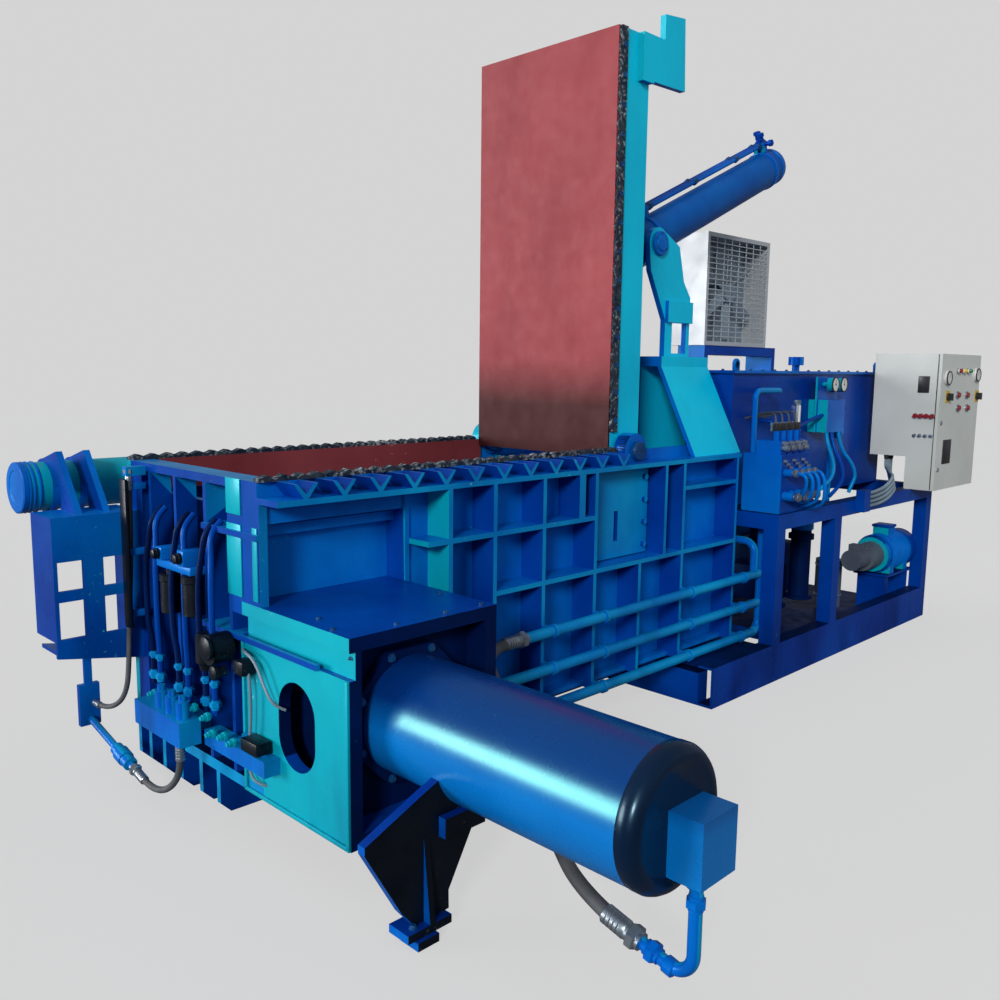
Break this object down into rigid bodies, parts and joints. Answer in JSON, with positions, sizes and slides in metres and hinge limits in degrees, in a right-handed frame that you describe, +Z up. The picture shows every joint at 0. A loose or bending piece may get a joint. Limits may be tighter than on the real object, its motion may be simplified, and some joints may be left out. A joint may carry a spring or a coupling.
{
  "type": "recycling baler",
  "caption": "Three-ram scrap metal baler with hinged lid open, side ram housing and big cylinder, sliding bale door, hydraulic power pack and console.",
  "frame": {"origin": "centre of the machine's footprint box, on the floor", "axes": "+X from the bale end to the power pack, +Y away from the big cylinder, +Z up"},
  "size_m": [5.414, 2.9099, 3.213],
  "materials": {
    "blade_steel": "ground, oiled",
    "blue": "gloss enamel",
    "button_red": "moulded",
    "cast_grey": "painted casting",
    "cooler_grey": "powder coat",
    "cream": "powder coat",
    "dark_wire": "dipped wire",
    "gauge_white": "plated and painted",
    "hose_rubber": "braided hose",
    "red_oxide": "matt primer, scuffed",
    "rod_chrome": "hard chrome",
    "switch_black": "moulded"
  },
  "bodies": {
    "frame": {"back_wall": "blue", "cabinet_case": "cream", "chamber_floor": "blue", "console_case": "cream", "control_conduits": "hose_rubber", "cooler_case": "cooler_grey", "cooler_core": "cooler_grey", "cooler_grille": "cooler_grey", "drain_hose": "hose_rubber", "end_frame": "blue", "final_cylinder": "blue", "front_foot": "blue", "front_wall": "blue", "gate_cylinder": "blue", "gate_frame": "blue", "gauge_manifold": "blue", "hinge_pins": "blade_steel", "hydraulic_pipes": "blue", "lid_towers": "blue", "liner_plates": "red_oxide", "motor": "blue", "oil_tank": "blue", "press_cylinder": "blue", "pump": "cast_grey", "ram_hose": "hose_rubber", "ram_housing": "blue", "ram_tunnel": "blue", "return_hose": "hose_rubber", "skid_frame": "blue", "slot_plate": "blue", "suction_filter": "cast_grey", "tank_cover": "blue", "valve_block": "blue", "wall_blades": "blade_steel"},
    "lid": {"lid": "blue", "lid_liner": "red_oxide", "lid_blades": "blade_steel"},
    "lid_barrel": {"lid_cylinder": "blue", "lid_pipes": "blue"},
    "lid_piston": {"lid_rod": "rod_chrome"},
    "press_pusher": {"press_ram": "red_oxide", "press_rod": "rod_chrome"},
    "final_pusher": {"final_ram": "red_oxide", "final_rod": "rod_chrome"},
    "bale_door": {"gate": "blue", "gate_rod": "rod_chrome"},
    "fan": {"cooler_fan": "dark_wire"},
    "cabinet_door": {"cabinet_door": "cream"},
    "console_door": {"console_door": "cream", "panel_fixtures": "gauge_white"},
    "front_button_1": {"front_button_1": "button_red"},
    "front_button_2": {"front_button_2": "button_red"},
    "front_button_3": {"front_button_3": "button_red"},
    "front_button_4": {"front_button_4": "button_red"},
    "rotary_switch_1": {"rotary_switch_1": "switch_black"},
    "rotary_switch_2": {"rotary_switch_2": "switch_black"},
    "side_button_1": {"side_button_1": "button_red"},
    "side_button_2": {"side_button_2": "button_red"},
    "side_button_3": {"side_button_3": "button_red"},
    "side_button_4": {"side_button_4": "button_red"}
  },
  "joints": [
    {"name": "lid_hinge", "type": "hinge", "parent": "frame", "child": "lid", "pos_m": [-0.42, 0.57, 1.23], "axis": [0, -1, 0], "range_deg": [0, 90]},
    {"name": "lid_cylinder_trunnion", "type": "hinge", "parent": "frame", "child": "lid_barrel", "pos_m": [0.12, 0.535, 2.242], "axis": [0, -1, 0], "range_deg": [0, 3.02]},
    {"name": "lid_rod_slide", "type": "slide", "parent": "lid_barrel", "child": "lid_piston", "axis": [-0.9132, 0, -0.4074], "range_m": [0, 1.3291]},
    {"name": "press_ram_slide", "type": "slide", "parent": "frame", "child": "press_pusher", "axis": [-1, 0, 0], "range_m": [0, 1.255]},
    {"name": "final_ram_slide", "type": "slide", "parent": "frame", "child": "final_pusher", "axis": [0, 1, 0], "range_m": [0, 0.8]},
    {"name": "bale_door_slide", "type": "slide", "parent": "frame", "child": "bale_door", "axis": [-1, 0, 0], "range_m": [0, 0.54]},
    {"name": "cooler_fan_spin", "type": "hinge", "parent": "frame", "child": "fan", "pos_m": [1.402, 0.745, 2.094], "axis": [0, 1, 0], "continuous": true},
    {"name": "cabinet_door_hinge", "type": "hinge", "parent": "frame", "child": "cabinet_door", "pos_m": [2.672, 0.033, 1.4], "axis": [0, 0, 1], "range_deg": [0, 110]},
    {"name": "console_door_hinge", "type": "hinge", "parent": "frame", "child": "console_door", "pos_m": [2.699, -0.369, 1.3], "axis": [0, 0, 1], "range_deg": [0, 110]},
    {"name": "front_button_1_press", "type": "slide", "parent": "console_door", "child": "front_button_1", "axis": [0, 1, 0], "range_m": [0, 0.004], "stiffness_N_per_m": 600},
    {"name": "front_button_2_press", "type": "slide", "parent": "console_door", "child": "front_button_2", "axis": [0, 1, 0], "range_m": [0, 0.004], "stiffness_N_per_m": 600},
    {"name": "front_button_3_press", "type": "slide", "parent": "console_door", "child": "front_button_3", "axis": [0, 1, 0], "range_m": [0, 0.004], "stiffness_N_per_m": 600},
    {"name": "front_button_4_press", "type": "slide", "parent": "console_door", "child": "front_button_4", "axis": [0, 1, 0], "range_m": [0, 0.004], "stiffness_N_per_m": 600},
    {"name": "rotary_switch_1_turn", "type": "hinge", "parent": "console_door", "child": "rotary_switch_1", "pos_m": [2.15, -0.395, 1.458], "axis": [0, 1, 0], "range_deg": [-45, 45]},
    {"name": "rotary_switch_2_turn", "type": "hinge", "parent": "console_door", "child": "rotary_switch_2", "pos_m": [2.656, -0.395, 1.457], "axis": [0, 1, 0], "range_deg": [-45, 45]},
    {"name": "side_button_1_press", "type": "slide", "parent": "frame", "child": "side_button_1", "axis": [1, 0, 0], "range_m": [0, 0.004], "stiffness_N_per_m": 600},
    {"name": "side_button_2_press", "type": "slide", "parent": "frame", "child": "side_button_2", "axis": [1, 0, 0], "range_m": [0, 0.004], "stiffness_N_per_m": 600},
    {"name": "side_button_3_press", "type": "slide", "parent": "frame", "child": "side_button_3", "axis": [1, 0, 0], "range_m": [0, 0.004], "stiffness_N_per_m": 600},
    {"name": "side_button_4_press", "type": "slide", "parent": "frame", "child": "side_button_4", "axis": [1, 0, 0], "range_m": [0, 0.004], "stiffness_N_per_m": 600}
  ],
  "couplings": [
    {"joint": "lid_cylinder_trunnion", "follows": "lid_hinge", "ratio": 0.032955},
    {"joint": "lid_rod_slide", "follows": "lid_hinge", "m_per_rad": 0.84486}
  ]
}
